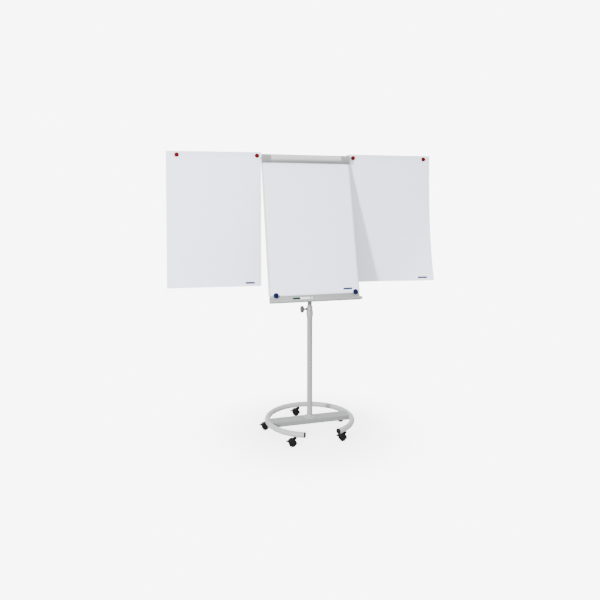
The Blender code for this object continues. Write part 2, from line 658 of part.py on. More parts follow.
post_axis = empty("post_axis", None, (POST_X, POST_Y, 0))
base_ring(post_axis)
crossbar(post_axis)
post(post_axis)
knob(post_axis)
casters(post_axis)
mast(post_axis)
board_tilt = empty("board_tilt", post_axis, (0, BOARD_FOOT_Y, BOARD_FOOT_Z), (-LEAN, 0, 0))
brackets(post_axis, board_tilt)
board(board_tilt)
top_rail(board_tilt)
clamp(board_tilt)
hooks(board_tilt)
tray(board_tilt)
pad(board_tilt)
marker(board_tilt)
for arm in ARM_SIDES:
    side_arm(arm, post_axis, board_tilt)
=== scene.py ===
from math import acos, atan2, cos, pi, radians, sin, sqrt

import bmesh
import bpy
from mathutils import Matrix, Vector


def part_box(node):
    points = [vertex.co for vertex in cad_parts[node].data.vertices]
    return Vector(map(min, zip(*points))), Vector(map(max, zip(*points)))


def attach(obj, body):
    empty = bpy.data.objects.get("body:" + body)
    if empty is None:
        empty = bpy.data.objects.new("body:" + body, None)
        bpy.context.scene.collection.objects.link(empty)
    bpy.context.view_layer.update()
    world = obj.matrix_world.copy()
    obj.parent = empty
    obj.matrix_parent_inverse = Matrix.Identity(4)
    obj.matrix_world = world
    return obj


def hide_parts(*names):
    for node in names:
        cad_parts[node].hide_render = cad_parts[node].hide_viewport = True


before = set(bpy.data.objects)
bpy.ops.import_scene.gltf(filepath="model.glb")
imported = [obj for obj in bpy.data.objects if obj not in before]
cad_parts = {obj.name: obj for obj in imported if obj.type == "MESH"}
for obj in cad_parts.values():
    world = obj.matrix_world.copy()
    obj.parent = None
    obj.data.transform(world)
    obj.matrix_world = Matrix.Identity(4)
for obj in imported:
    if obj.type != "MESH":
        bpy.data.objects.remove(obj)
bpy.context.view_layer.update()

postLow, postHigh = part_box("lower_post")
postAxis = Vector(((postLow[0] + postHigh[0]) / 2, (postLow[1] + postHigh[1]) / 2, 0))
print("frame loaded, post axis at", tuple(round(v, 4) for v in postAxis))


# shader wiring: a wire is a socket that can be added, multiplied and so on
class Wire:
    def __init__(self, tree, socket=None):
        self.tree = tree
        self.socket = socket

    def make(self, kind, settings=None, output=0, **inputs):
        node = self.tree.nodes.new(kind)
        for name, value in (settings or {}).items():
            setattr(node, name, value)
        for name, value in inputs.items():
            socket = findSocket(node.inputs, name)
            if isinstance(value, Wire):
                self.tree.links.new(value.socket, socket)
            else:
                socket.default_value = value
        return Wire(self.tree, findSocket(node.outputs, output))

    def maths(self, operation, first, second=0.0, clamp=False):
        settings = {"operation": operation, "use_clamp": clamp}
        return self.make("ShaderNodeMath", settings, in0=first, in1=second)

    def __add__(self, other):
        return self.maths("ADD", self, other)

    def __sub__(self, other):
        return self.maths("SUBTRACT", self, other)

    def __mul__(self, other):
        return self.maths("MULTIPLY", self, other)

    def __radd__(self, other):
        return self.maths("ADD", other, self)

    def __rsub__(self, other):
        return self.maths("SUBTRACT", other, self)

    def __rmul__(self, other):
        return self.maths("MULTIPLY", other, self)

    def __lt__(self, other):
        return self.maths("LESS_THAN", self, other)

    def __gt__(self, other):
        return self.maths("GREATER_THAN", self, other)

    def size(self):
        return self.maths("ABSOLUTE", self)

    def fraction(self):
        return self.maths("FRACT", self)

    def within(self):
        return self.maths("ADD", self, 0.0, clamp=True)


def findSocket(sockets, name):
    if isinstance(name, int):
        return sockets[name]
    if name.startswith("in") and name[2:].isdigit():
        return sockets[int(name[2:])]
    return sockets[name.replace("_", " ")]


def newMaterial(name, roughness=0.5, metallic=0.0, coat=0.0, specular=0.5):
    material = bpy.data.materials.new(name)
    material.use_nodes = True
    shader = material.node_tree.nodes["Principled BSDF"]
    shader.inputs["Roughness"].default_value = roughness
    shader.inputs["Metallic"].default_value = metallic
    shader.inputs["Coat Weight"].default_value = coat
    shader.inputs["Specular IOR Level"].default_value = specular
    return material, shader, Wire(material.node_tree)


def feed(wire, shader, name):
    wire.tree.links.new(wire.socket, shader.inputs[name])


def blendColours(wire, factor, low, high):
    mix = wire.make("ShaderNodeMix", {"data_type": "RGBA"}, output=2, in0=factor)
    node = mix.socket.node
    for socket, value in ((node.inputs[6], low), (node.inputs[7], high)):
        if isinstance(value, Wire):
            wire.tree.links.new(value.socket, socket)
        else:
            socket.default_value = (*value, 1)
    return mix


def noiseOn(wire, scale, detail=3.0, stretch=None):
    spot = wire.make("ShaderNodeTexCoord", output="Object")
    if stretch:
        spot = wire.make("ShaderNodeMapping", Vector=spot, Scale=stretch)
    return wire.make("ShaderNodeTexNoise", Vector=spot, Scale=scale, Detail=detail)


def bumped(wire, shader, height, strength, distance):
    bump = wire.make("ShaderNodeBump", Strength=strength, Distance=distance, Height=height)
    feed(bump, shader, "Normal")


# powder coat: fine orange peel, a little cloudiness and duller patches
def powderCoat(name, colour, roughness):
    material, shader, wire = newMaterial(name, roughness, specular=0.22)
    cloud = noiseOn(wire, 9, 2)
    peel = noiseOn(wire, 1100, 2)
    darker = tuple(v * 0.93 for v in colour)
    feed(blendColours(wire, cloud, darker, colour), shader, "Base Color")
    scuffs = noiseOn(wire, 60, 5)
    feed(scuffs * 0.14 + (cloud * 0.08 + (roughness - 0.11)), shader, "Roughness")
    bumped(wire, shader, peel, 0.18, 0.0004)
    return material


# extruded aluminium: fine lines along the section, satin
def extrudedMetal(name, colour, along, roughness=0.36):
    material, shader, wire = newMaterial(name, roughness, 0.85)
    stretch = [260.0, 260.0, 260.0]
    stretch["xyz".index(along)] = 2.0
    lines = noiseOn(wire, 5, 4, tuple(stretch))
    cloud = noiseOn(wire, 6, 2)
    darker = tuple(v * 0.90 for v in colour)
    feed(blendColours(wire, lines * 0.5 + cloud * 0.5, darker, colour), shader, "Base Color")
    feed(lines * 0.16 + (roughness - 0.08), shader, "Roughness")
    bumped(wire, shader, lines, 0.10, 0.0003)
    return material


# moulded plastic: fine spark-eroded grain with a faint sheen change
def mouldedPlastic(name, colour, roughness, grain=0.25, scale=1500, specular=0.5):
    material, shader, wire = newMaterial(name, roughness, specular=specular)
    fine = noiseOn(wire, scale, 2)
    cloud = noiseOn(wire, 30, 3)
    lighter = tuple(min(v * 1.15, 1) for v in colour)
    feed(blendColours(wire, cloud, colour, lighter), shader, "Base Color")
    feed(cloud * 0.15 + (roughness - 0.07), shader, "Roughness")
    bumped(wire, shader, fine, grain, 0.0003)
    return material


def glossPlastic(name, colour, coat=0.1, specular=0.3):
    material, shader, wire = newMaterial(name, 0.34, 0.0, coat, specular)
    cloud = noiseOn(wire, 55, 3)
    darker = tuple(v * 0.82 for v in colour)
    feed(blendColours(wire, cloud, darker, colour), shader, "Base Color")
    rub = noiseOn(wire, 240, 4)
    feed(rub * 0.16 + 0.24, shader, "Roughness")
    bumped(wire, shader, rub, 0.06, 0.0003)
    return material


# enamelled steel face: glassy, with faint wiping marks in its gloss
def enamel(name, colour):
    material, shader, wire = newMaterial(name, 0.2, 0.0, 0.4)
    wipes = noiseOn(wire, 8, 5, (1.0, 1.0, 7.0))
    darker = tuple(v * 0.97 for v in colour)
    feed(blendColours(wire, wipes, darker, colour), shader, "Base Color")
    feed(wipes * 0.16 + 0.12, shader, "Roughness")
    bumped(wire, shader, noiseOn(wire, 400, 2), 0.03, 0.0003)
    return material


def platedSteel(name):
    material, shader, wire = newMaterial(name, 0.3, 1.0)
    cloud = noiseOn(wire, 160, 4)
    feed(blendColours(wire, cloud, (0.42, 0.42, 0.43), (0.62, 0.62, 0.63)), shader, "Base Color")
    feed(cloud * 0.2 + 0.2, shader, "Roughness")
    bumped(wire, shader, cloud, 0.08, 0.0002)
    return material


paper = {
    "colour": (0.80, 0.815, 0.90), "line": (0.48, 0.54, 0.70), "square": 0.020,
    "lineWidth": 0.0010, "lineShare": 0.70, "mark": (0.006, 0.014, 0.060), "markSize": (0.068, 0.0140),
    "markIn": 0.082, "markUp": 0.026,  # the bar's middle, from the right edge and from the foot
    "through": 0.30,  # how much light a sheet lets through
}


# paper: printed squares, a plain bar near the foot on the right, fibres, and light from behind
def paperSheet(name, width, height):
    material, shader, wire = newMaterial(name, 0.85)
    fibres = noiseOn(wire, 700, 5)
    cloud = noiseOn(wire, 4, 2)
    shade = tuple(v * 0.975 for v in paper["colour"])
    colour = blendColours(wire, fibres * 0.5 + cloud * 0.5, shade, paper["colour"])
    spot = wire.make("ShaderNodeUVMap")
    across = wire.make("ShaderNodeSeparateXYZ", output=0, Vector=spot) * width
    upward = wire.make("ShaderNodeSeparateXYZ", output=1, Vector=spot) * height
    half = paper["lineWidth"] / paper["square"] / 2
    rulings = []
    for length in (across, upward):
        away = ((length * (1 / paper["square"])).fraction() - 0.5).size()
        rulings.append(away > 0.5 - half)
    lines = (rulings[0] + rulings[1]).within()
    colour = blendColours(wire, lines * paper["lineShare"], colour, paper["line"])
    wide, tall = paper["markSize"]
    offX = (across - (width - paper["markIn"])).size() < wide / 2
    offY = (upward - paper["markUp"]).size() < tall / 2
    mark = offX * offY
    colour = blendColours(wire, mark, colour, paper["mark"])
    feed(colour, shader, "Base Color")
    bumped(wire, shader, fibres, 0.12, 0.0002)
    # light from behind has one colour, and the print holds it back
    glow = wire.make("ShaderNodeBsdfTranslucent", Color=(*paper["colour"], 1))
    share = (1 - mark) * paper["through"]
    both = wire.make("ShaderNodeMixShader", in0=share, in1=Wire(wire.tree, shader.outputs[0]), in2=glow)
    output = wire.tree.nodes["Material Output"]
    wire.tree.links.new(both.socket, output.inputs["Surface"])
    return material


# the pad's cut edges, where the leaves show as fine lines
def padEdges(name, across):
    material, shader, wire = newMaterial(name, 0.9)
    stretch = tuple(1.0 if i != across else 1600.0 for i in range(3))
    leaves = noiseOn(wire, 1.0, 2, stretch)
    feed(blendColours(wire, leaves, (0.74, 0.745, 0.76), (0.90, 0.905, 0.92)), shader, "Base Color")
    bumped(wire, shader, leaves, 0.3, 0.0004)
    return material


lightGrey = powderCoat("lightGreyCoat", (0.170, 0.173, 0.176), 0.46)
# ring coat: the same light grey paint made lighter than on the post, painted light standing in for how the
# ring is lit
ringGreyPaintedLight = powderCoat("ringCoatPaintedLight", (0.220, 0.223, 0.225), 0.42)
# crossbar coat: the same light grey paint made darker, painted shade standing in for the shade on the bar's
# front
barGreyPaintedShade = powderCoat("barCoat", (0.125, 0.127, 0.128), 0.46)
trayGrey = powderCoat("trayCoat", (0.19, 0.193, 0.195), 0.40)
armWhite = powderCoat("armCoat", (0.42, 0.425, 0.44), 0.42)
greyPlastic = mouldedPlastic("greyPlastic", (0.15, 0.153, 0.153), 0.5, specular=0.3)
collarPlastic = mouldedPlastic("collarPlastic", (0.18, 0.183, 0.183), 0.5, specular=0.3)
knobPlastic = mouldedPlastic("knobPlastic", (0.040, 0.041, 0.041), 0.5, specular=0.2)
blackPlastic = mouldedPlastic("blackPlastic", (0.003, 0.003, 0.0033), 0.45, specular=0.06)
wheelTread = mouldedPlastic("wheelTread", (0.004, 0.004, 0.0043), 0.62, 0.3, 900, 0.05)
clampMetal = extrudedMetal("clampMetal", (0.40, 0.405, 0.41), "x", 0.30)
railMetal = extrudedMetal("railMetal", (0.40, 0.405, 0.41), "x")
frameMetal = extrudedMetal("frameMetal", (0.62, 0.625, 0.63), "z", 0.42)
whiteFace = enamel("whiteFace", (0.80, 0.81, 0.84))
coreBoard = mouldedPlastic("coreBoard", (0.42, 0.34, 0.24), 0.9, 0.6, 300)
plated = platedSteel("platedSteel")
redGloss = glossPlastic("redGloss", (0.070, 0.0001, 0.0014), 0.03, 0.05)
blueGloss = glossPlastic("blueGloss", (0.0012, 0.003, 0.028), 0.03, 0.05)
greenGloss = glossPlastic("greenGloss", (0.0008, 0.016, 0.011), 0.03, 0.08)
whiteGloss = glossPlastic("whiteGloss", (0.62, 0.625, 0.66), 0.2, 0.4)
barrelInk = glossPlastic("barrelInk", (0.008, 0.010, 0.030), 0.03, 0.1)
print("materials ready")


# modelling helpers
def deselect():
    if bpy.context.mode != "OBJECT":
        bpy.ops.object.mode_set(mode="OBJECT")
    bpy.ops.object.select_all(action="DESELECT")


def settle(piece, matrix=None):
    # the piece's place goes into its mesh
    if matrix is not None:
        piece.matrix_world = matrix
    deselect()
    piece.select_set(True)
    bpy.context.view_layer.objects.active = piece
    bpy.ops.object.transform_apply(location=True, rotation=True, scale=True)
    return piece


def tidyNormals(piece, weld=0.000001):
    bpy.ops.object.mode_set(mode="EDIT")
    bpy.ops.mesh.select_all(action="SELECT")
    bpy.ops.mesh.remove_doubles(threshold=weld)
    bpy.ops.mesh.normals_make_consistent(inside=False)
    bpy.ops.object.mode_set(mode="OBJECT")


def applyModifiers(piece):
    deselect()
    piece.select_set(True)
    bpy.context.view_layer.objects.active = piece
    for modifier in list(piece.modifiers):
        bpy.ops.object.modifier_apply(modifier=modifier.name)


def smooth(piece, degrees=35):
    deselect()
    piece.select_set(True)
    bpy.context.view_layer.objects.active = piece
    bpy.ops.object.shade_smooth_by_angle(angle=radians(degrees))


def bevelEdges(piece, width, segments=3, degrees=40):
    bevel = piece.modifiers.new("edges", "BEVEL")
    bevel.width = width
    bevel.segments = segments
    bevel.limit_method = "ANGLE"
    bevel.angle_limit = radians(degrees)
    bevel.harden_normals = False
    applyModifiers(piece)


def give(piece, material, body, slot, *nodes):
    piece.data.materials.clear()
    piece.data.materials.append(material)
    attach(piece, body)
    if nodes:
        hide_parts(*nodes)
    return piece


# pulls a circle up ring by ring through (radius, height) steps; a hollow one closes on itself
def turnedPiece(name, steps, sides=64, degrees=35, hollow=False):
    deselect()
    radius, height = steps[0]
    fill = "NOTHING" if hollow else "NGON"
    bpy.ops.mesh.primitive_circle_add(
        vertices=sides, radius=radius, fill_type=fill, location=(0, 0, height)
    )
    piece = bpy.context.object
    piece.name = name
    settle(piece)
    bpy.ops.object.mode_set(mode="EDIT")
    bpy.ops.mesh.select_all(action="SELECT")
    for nextRadius, nextHeight in list(steps[1:]) + ([steps[0]] if hollow else []):
        bpy.ops.mesh.extrude_region_move(TRANSFORM_OT_translate={"value": (0, 0, nextHeight - height)})
        scale = nextRadius / radius
        bpy.ops.transform.resize(value=(scale, scale, 1), center_override=(0, 0, nextHeight))
        radius, height = nextRadius, nextHeight
    bpy.ops.object.mode_set(mode="OBJECT")
    tidyNormals(piece)
    smooth(piece, degrees)
    return piece


# a face traced point by point in the XY plane, then pulled up along Z through (depth, scale) steps
def pulledPiece(name, points, steps, bevel=0.0, degrees=35):
    deselect()
    bpy.ops.mesh.primitive_plane_add(size=0.01, location=(*points[0], 0))
    piece = bpy.context.object
    piece.name = name
    settle(piece)
    bpy.ops.object.mode_set(mode="EDIT")
    bpy.ops.mesh.select_all(action="SELECT")
    bpy.ops.mesh.merge(type="CENTER")
    for (a, b), (nextA, nextB) in zip(points, points[1:]):
        bpy.ops.mesh.extrude_region_move(TRANSFORM_OT_translate={"value": (nextA - a, nextB - b, 0)})
    bpy.ops.mesh.select_all(action="SELECT")
    bpy.ops.mesh.edge_face_add()
    depth, scale = 0.0, 1.0
    for nextDepth, nextScale in steps:
        if nextDepth != depth or nextScale != scale:
            bpy.ops.mesh.extrude_region_move(TRANSFORM_OT_translate={"value": (0, 0, nextDepth - depth)})
        if nextScale != scale:
            change = nextScale / scale
            bpy.ops.transform.resize(value=(change, change, 1), center_override=(0, 0, nextDepth))
        depth, scale = nextDepth, nextScale
    bpy.ops.object.mode_set(mode="OBJECT")
    tidyNormals(piece)
    if bevel:
        bevelEdges(piece, bevel, 2)
    smooth(piece, degrees)
    return piece


def addedBox(name, low, high):
    deselect()
    size = [b - a for a, b in zip(low, high)]
    middle = [(a + b) / 2 for a, b in zip(low, high)]
    bpy.ops.mesh.primitive_cube_add(size=1, location=middle, scale=size)
    piece = bpy.context.object
    piece.name = name
    return settle(piece)


def copyPiece(piece, name, matrix=None):
    twin = piece.copy()
    twin.data = piece.data.copy()
    twin.name = name
    bpy.context.scene.collection.objects.link(twin)
    return settle(twin, matrix)


def joined(first, *others):
    deselect()
    for other in others:
        other.select_set(True)
    first.select_set(True)
    bpy.context.view_layer.objects.active = first
    bpy.ops.object.join()
    return first


# a CAD node's own shape with its edges rounded
def roundedCopy(node, name, width, segments=3):
    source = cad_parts[node]
    deselect()
    twin = source.copy()
    twin.data = source.data.copy()
    twin.parent = None
    twin.name = name
    bpy.context.scene.collection.objects.link(twin)
    twin.matrix_world = Matrix.Identity(4)
    twin.select_set(True)
    bpy.context.view_layer.objects.active = twin
    bpy.ops.object.mode_set(mode="EDIT")
    bpy.ops.mesh.select_all(action="SELECT")
    bpy.ops.mesh.customdata_custom_splitnormals_clear()
    bpy.ops.mesh.remove_doubles(threshold=0.00002)
    bpy.ops.mesh.dissolve_limited(angle_limit=radians(1))
    bpy.ops.object.mode_set(mode="OBJECT")
    if width:
        bevelEdges(twin, width, segments, 30)
    smooth(twin, 30)
    return twin


def placed(x, y, z, turnX=0.0, turnY=0.0, turnZ=0.0):
    move = Matrix.Translation((x, y, z))
    turns = Matrix.Rotation(turnZ, 4, "Z") @ Matrix.Rotation(turnY, 4, "Y") @ Matrix.Rotation(turnX, 4, "X")
    return move @ turns


onPost = Matrix.Translation(postAxis)


def cutWith(piece, cutter):
    step = piece.modifiers.new("cut", "BOOLEAN")
    step.operation = "DIFFERENCE"
    step.solver = "EXACT"
    step.object = cutter
    applyModifiers(piece)
    bpy.data.objects.remove(cutter, do_unlink=True)
    return piece


def plainRod(name, radius, low, high, sides=48):
    return turnedPiece(name, [(radius, low), (radius, high)], sides)


# ---- base: open ring, its end caps and the crossbar welded across it
ring = {"radius": 0.314, "tube": 0.019, "height": 0.085, "open": radians(24), "sides": 40, "steps": 150}
bar = {"deep": 0.100, "low": 0.064, "high": 0.098, "corner": 0.003}


def sweptRing(name, tube, sides):
    start = -pi / 2 + ring["open"]
    spot = (ring["radius"] * cos(start), ring["radius"] * sin(start), ring["height"])
    deselect()
    bpy.ops.mesh.primitive_circle_add(
        vertices=sides, radius=tube, fill_type="NGON", location=spot, rotation=(pi / 2, 0, start)
    )
    piece = bpy.context.object
    piece.name = name
    settle(piece)
    bpy.ops.object.mode_set(mode="EDIT")
    bpy.ops.mesh.select_all(action="SELECT")
    bpy.ops.mesh.spin(
        steps=ring["steps"], angle=-2 * (pi - ring["open"]), center=(0, 0, ring["height"]), axis=(0, 0, 1)
    )
    bpy.ops.object.mode_set(mode="OBJECT")
    tidyNormals(piece)
    smooth(piece, 35)
    return piece


baseRing = settle(sweptRing("baseRing", ring["tube"], ring["sides"]), onPost)
# the ring takes the lighter copy of the light grey paint: painted light
give(baseRing, ringGreyPaintedLight, "base", "light_grey_paint", "base_ring")

for side, sign in (("left", -1), ("right", 1)):
    turn = -pi / 2 + sign * ring["open"]
    spot = (ring["radius"] * cos(turn), ring["radius"] * sin(turn), ring["height"])
    profile = [
        (0.0165, -0.0010), (0.0165, 0.0006), (0.0186, 0.0006), (0.0190, 0.0011), (0.0190, 0.0074),
        (0.0186, 0.0088), (0.0174, 0.0102), (0.0150, 0.0112), (0.0110, 0.0118), (0.0050, 0.0120),
    ]
    cap = turnedPiece(f"ringEnd_{side}", profile, 48)
    facing = placed(*spot, turnX=pi / 2, turnZ=turn + (pi if sign < 0 else 0))
    settle(cap, onPost @ facing)
    give(cap, blackPlastic, "base", "black_plastic", f"ring_end_cap_{side}")

reach = sqrt(ring["radius"] ** 2 - (bar["deep"] / 2) ** 2)
crossBar = addedBox("crossBar", (-reach, -bar["deep"] / 2, bar["low"]), (reach, bar["deep"] / 2, bar["high"]))
bevelEdges(crossBar, bar["corner"], 4)
cutWith(crossBar, sweptRing("saddle", ring["tube"] + 0.0002, ring["sides"]))
smooth(crossBar, 30)
settle(crossBar, onPost)
# the crossbar takes the darker copy of the light grey paint: painted shade
give(crossBar, barGreyPaintedShade, "base", "light_grey_paint", "crossbar")
print("base ready")

# ---- post: foot flange, lower tube, collar, mast
post = {"radius": 0.020, "wall": 0.002, "foot": 0.0983, "top": 0.850}
mast = {"radius": 0.016, "wall": 0.002, "low": 0.500, "top": 1.445}
footProfile = [
    (0.0203, 0.1203), (0.0208, 0.1206), (0.0216, 0.1206), (0.0224, 0.1198), (0.0228, 0.1180),
    (0.0236, 0.1150), (0.0250, 0.1118), (0.0275, 0.1088), (0.0310, 0.1066), (0.0360, 0.1050),
    (0.0420, 0.1038), (0.0462, 0.1028), (0.0475, 0.1016), (0.0478, 0.0998), (0.0482, 0.0984),
    (0.0203, 0.0984),
]
postFoot = settle(turnedPiece("postFoot", footProfile, 72, 50, hollow=True), onPost)
give(postFoot, lightGrey, "base", "light_grey_paint", "post_foot")

inner = post["radius"] - post["wall"]
tubeProfile = [
    (inner, post["foot"]), (post["radius"], post["foot"]), (post["radius"], post["top"]),
    (inner, post["top"]),
]
lowerTube = turnedPiece("lowerTube", tubeProfile, 72, hollow=True)
give(settle(lowerTube, onPost), lightGrey, "base", "light_grey_paint", "lower_post")

inner = mast["radius"] - mast["wall"]
mastTube = turnedPiece(
    "mastTube",
    [(inner, mast["low"]), (mast["radius"], mast["low"]), (mast["radius"], mast["top"] - 0.0004),
     (mast["radius"] - 0.0005, mast["top"]), (inner, mast["top"])],
    64, hollow=True,
)
give(settle(mastTube, onPost), lightGrey, "board", "light_grey_paint", "upper_tube")

collarLow = 0.844
collarProfile = [
    (0.0163, 0.0850), (0.0204, 0.0850), (0.0211, 0.0847), (0.0215, 0.0840), (0.0216, 0.0600),
    (0.0216, 0.0552), (0.0212, 0.0546), (0.0212, 0.0536), (0.0222, 0.0530), (0.0236, 0.0510),
    (0.0246, 0.0470), (0.0251, 0.0410), (0.0252, 0.0340), (0.0250, 0.0260), (0.0245, 0.0180),
    (0.0236, 0.0120), (0.0226, 0.0070), (0.0219, 0.0030), (0.0214, 0.0004), (0.0203, 0.0001),
    (0.0203, 0.0063), (0.0163, 0.0063),
]
collarProfile = [(r, collarLow + z) for r, z in collarProfile]
collar = turnedPiece("collar", collarProfile, 72, 40, hollow=True)
knobSpot = {"height": 0.909, "out": 0.058, "thick": 0.020, "flutes": 24}
towardKnob = placed(0, 0, knobSpot["height"], turnY=-pi / 2)
bore = settle(plainRod("bore", 0.0044, 0.010, 0.045, 32), towardKnob)
cutWith(collar, bore)
smooth(collar, 40)
give(settle(collar, onPost), collarPlastic, "base", "grey_plastic", "post_collar")
bossProfile = [
    (0.0046, 0.0200), (0.0105, 0.0200), (0.0102, 0.0232), (0.0098, 0.0256), (0.0088, 0.0264),
    (0.0046, 0.0264),
]
boss = turnedPiece("collarBoss", bossProfile, 48, 40, hollow=True)
give(settle(boss, onPost @ towardKnob), knobPlastic, "base", "grey_plastic")

face = knobSpot["out"] - knobSpot["thick"] / 2
screwProfile = [
    (0.0030, 0.0164), (0.0040, 0.0174), (0.0040, 0.0268), (0.0060, 0.0270), (0.0068, 0.0280),
    (0.0068, face - 0.003), (0.0082, face - 0.0014), (0.0090, face - 0.0004),
]
screw = turnedPiece("knobScrew", screwProfile, 40)
give(settle(screw, onPost @ towardKnob), blackPlastic, "clamp_knob", "black_plastic", "knob_screw")
gripProfile = [
    (0.0092, 0.0000), (0.0205, 0.0000), (0.0232, 0.0008), (0.0245, 0.0023), (0.0250, 0.0046),
    (0.0250, 0.0146), (0.0247, 0.0166), (0.0238, 0.0183), (0.0222, 0.0195), (0.0200, 0.0200),
    (0.0175, 0.0200), (0.0165, 0.0193), (0.0060, 0.0187),
]
gripProfile = [(r, face + z) for r, z in gripProfile]
sides = knobSpot["flutes"] * 4
grip = turnedPiece("knobGrip", gripProfile, sides, 30)


# pushes every fourth strip of the rim inwards, so the grip is fluted
def flute(piece, low, high, radius, push):
    mesh = piece.data
    bpy.ops.object.mode_set(mode="EDIT")
    work = bmesh.from_edit_mesh(mesh)
    for vertex in work.verts:
        vertex.select = False
        away = sqrt(vertex.co.x ** 2 + vertex.co.y ** 2)
        if low <= vertex.co.z <= high and away > radius:
            turn = atan2(vertex.co.y, vertex.co.x) / (2 * pi) * sides
            vertex.select = round(turn) % 4 == 0
    work.select_flush_mode()
    bmesh.update_edit_mesh(mesh)
    bpy.ops.transform.resize(value=(push, push, 1), center_override=(0, 0, 0))
    bpy.ops.object.mode_set(mode="OBJECT")
    return piece


flute(grip, face + 0.002, face + 0.017, 0.0240, 0.955)
give(settle(grip, onPost @ towardKnob), knobPlastic, "clamp_knob", "grey_plastic", "knob_grip")
print("post and knob ready")

# ---- casters: twin wheels under a hood, with a brake tab
caster = {
    "wheel": 0.025, "trail": 0.020, "hoodOut": 0.0300, "hoodIn": 0.0268, "half": 0.0190, "fin": 0.0045,
    "tab": radians(150), "tabOut": 0.0315, "low": radians(-12), "high": radians(141),
}
casterTurns = {"rear": 90, "left": 162, "front_left": 234, "front_right": 306, "right": 18}


def arcPoints(radius, start, end, steps):
    turns = [start + (end - start) * i / steps for i in range(steps + 1)]
    return [(radius * cos(turn), radius * sin(turn)) for turn in turns]


def casterWheels():
    profile = [
        (0.0036, 0.0052), (0.0210, 0.0052), (0.0232, 0.0056), (0.0245, 0.0068), (0.0250, 0.0086),
        (0.0250, 0.0152), (0.0247, 0.0168), (0.0238, 0.0182), (0.0222, 0.0189), (0.0204, 0.0189),
        (0.0196, 0.0180), (0.0120, 0.0172), (0.0108, 0.0184), (0.0060, 0.0190),
    ]
    near = turnedPiece("wheelNear", profile, 56)
    far = copyPiece(near, "wheelFar", Matrix.Rotation(pi, 4, "X"))
    axle = plainRod("axle", 0.0034, -0.0060, 0.0060, 24)
    wheels = joined(near, far, axle)
    return settle(wheels, Matrix.Rotation(pi / 2, 4, "X"))


def casterHousing():
    upright = Matrix.Rotation(pi / 2, 4, "X")
    low, high = caster["low"], caster["high"]
    hood = arcPoints(caster["hoodOut"], low, high, 30) + arcPoints(caster["hoodIn"], high, low, 30)
    shell = pulledPiece("hood", hood, [(2 * caster["half"], 1.0)], 0.0012)
    settle(shell, upright @ Matrix.Translation((0, 0, -caster["half"])))
    cheek = arcPoints(caster["hoodOut"], radians(-14), radians(168), 32)
    cheek += [(-0.016, -0.0035), (0.016, -0.0085)]
    for sign in (-1, 1):
        plate = pulledPiece("cheek", cheek, [(0.0006, 1.0), (0.0016, 0.965)], 0.0003)
        turn = upright if sign < 0 else upright @ Matrix.Rotation(pi, 4, "X") @ Matrix.Scale(-1, 4, (0, 1, 0))
        settle(plate, turn @ Matrix.Translation((0, 0, caster["half"] + 0.0002)))
        tidyNormals(plate)
        joined(shell, plate)
    tabX, tabZ = caster["tabOut"] * cos(caster["tab"]), caster["tabOut"] * sin(caster["tab"])
    fin = arcPoints(caster["hoodOut"] - 0.001, low, high, 20)
    fin += [(tabX - 0.005, tabZ + 0.001), (tabX - 0.004, tabZ - 0.005), (-0.010, -0.006)]
    fin += [(-0.004, -0.0095), (0.004, -0.0095), (0.010, -0.006)]
    web = pulledPiece("fin", fin, [(2 * caster["fin"], 1.0)], 0.0008)
    settle(web, upright @ Matrix.Translation((0, 0, -caster["fin"])))
    top = ring["height"] - ring["tube"] - caster["wheel"] - 0.0008
    bossProfile = [
        (0.0085, 0.0230), (0.0128, 0.0262), (0.0132, 0.0300), (0.0126, 0.0340), (0.0118, top - 0.0012),
        (0.0108, top),
    ]
    neck = turnedPiece("neck", bossProfile, 36)
    settle(neck, Matrix.Translation((caster["trail"], 0, 0)))
    stem = plainRod("stem", 0.0050, top - 0.004, 0.092 - caster["wheel"], 24)
    settle(stem, Matrix.Translation((caster["trail"], 0, 0)))
    return joined(shell, web, neck, stem)


def casterTab():
    tab = [
        (0, -0.0128), (-0.0140, -0.0128), (-0.0158, -0.0118), (-0.0165, -0.0100),
        (-0.0165, 0.0100), (-0.0158, 0.0118), (-0.0140, 0.0128), (0, 0.0128), (0, 0.0054),
        (-0.0085, 0.0054), (-0.0085, -0.0054), (0, -0.0054),
    ]
    plate = pulledPiece("plate", tab, [(0.0036, 1.0)], 0.0007)
    settle(plate, Matrix.Translation((0, 0, -0.0018)))
    pin = settle(plainRod("tabPin", 0.0018, -0.0126, 0.0126, 20), Matrix.Rotation(pi / 2, 4, "X"))
    return joined(plate, pin)


wheelsMaster, housingMaster, tabMaster = casterWheels(), casterHousing(), casterTab()
for name, degrees in casterTurns.items():
    spot = Vector((ring["radius"] * cos(radians(degrees)), ring["radius"] * sin(radians(degrees)), 0))
    hub = onPost @ Matrix.Translation(spot + Vector((-caster["trail"], 0, caster["wheel"])))
    reachX, reachZ = caster["tabOut"] * cos(caster["tab"]), caster["tabOut"] * sin(caster["tab"])
    knuckle = hub @ Matrix.Translation((reachX, 0, reachZ))
    wheels = copyPiece(wheelsMaster, f"wheels_{name}", hub)
    give(wheels, wheelTread, f"wheels_{name}", "black_plastic", f"caster_wheels_{name}")
    housing = copyPiece(housingMaster, f"housing_{name}", hub)
    give(housing, blackPlastic, f"caster_{name}", "black_plastic", f"caster_housing_{name}")
    tab = copyPiece(tabMaster, f"brakeTab_{name}", knuckle)
    give(tab, blackPlastic, f"brake_{name}", "black_plastic", f"caster_brake_{name}")
for master in (wheelsMaster, housingMaster, tabMaster):
    bpy.data.objects.remove(master, do_unlink=True)
print("casters ready")

